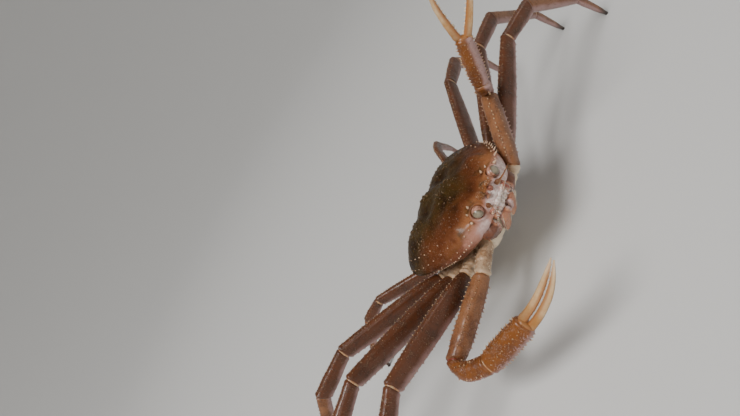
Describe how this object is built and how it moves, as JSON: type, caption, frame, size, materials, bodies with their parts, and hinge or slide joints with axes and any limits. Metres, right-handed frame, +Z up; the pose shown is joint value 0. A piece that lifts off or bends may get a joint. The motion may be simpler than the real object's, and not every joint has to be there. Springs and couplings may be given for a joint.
{
  "type": "snow crab",
  "caption": "Life-size still model of a snow crab standing on its walking legs, with one claw raised and open and the other folded before its face.",
  "frame": {"origin": "on the floor, under the middle of the model's box", "axes": "+Z up, -Y the way the crab faces, +X the crab's left side"},
  "size_m": [0.5398, 0.263, 0.2054],
  "materials": {
    "shell": "wet chitin, dark red-brown at the back and orange-brown towards the face, with cream tubercles",
    "underside": "wet chitin, cream with yellow and pink seams",
    "limb": "wet chitin, orange-brown above and lilac to cream below, with pale spines",
    "claw": "wet chitin, orange with a lilac-grey inner side, yellow finger edges and white teeth",
    "eye": "glossy grey-green cornea",
    "feeler": "ringed orange"
  },
  "bodies": {
    "root": {"carapace": "shell", "thorax": "underside", "pleon": "underside", "maxilliped_left": "underside", "eye_left": "eye", "antenna_left": "feeler", "maxilliped_right": "underside", "eye_right": "eye", "antenna_right": "feeler", "arm_left_hip": "limb", "arm_left_merus": "limb", "arm_left_carpus": "limb", "arm_left_palm": "claw", "arm_left_finger": "claw", "leg2_left_hip": "limb", "leg2_left_merus": "limb", "leg2_left_carpus": "limb", "leg2_left_propodus": "limb", "leg2_left_dactyl": "limb", "leg3_left_hip": "limb", "leg3_left_merus": "limb", "leg3_left_carpus": "limb", "leg3_left_propodus": "limb", "leg3_left_dactyl": "limb", "leg4_left_hip": "limb", "leg4_left_merus": "limb", "leg4_left_carpus": "limb", "leg4_left_propodus": "limb", "leg4_left_dactyl": "limb", "leg5_left_hip": "limb", "leg5_left_merus": "limb", "leg5_left_carpus": "limb", "leg5_left_propodus": "limb", "leg5_left_dactyl": "limb", "arm_right_hip": "limb", "arm_right_merus": "limb", "arm_right_carpus": "limb", "arm_right_palm": "claw", "arm_right_finger": "claw", "leg2_right_hip": "limb", "leg2_right_merus": "limb", "leg2_right_carpus": "limb", "leg2_right_propodus": "limb", "leg2_right_dactyl": "limb", "leg3_right_hip": "limb", "leg3_right_merus": "limb", "leg3_right_carpus": "limb", "leg3_right_propodus": "limb", "leg3_right_dactyl": "limb", "leg4_right_hip": "limb", "leg4_right_merus": "limb", "leg4_right_carpus": "limb", "leg4_right_propodus": "limb", "leg4_right_dactyl": "limb", "leg5_right_hip": "limb", "leg5_right_merus": "limb", "leg5_right_carpus": "limb", "leg5_right_propodus": "limb", "leg5_right_dactyl": "limb"}
  },
  "joints": []
}
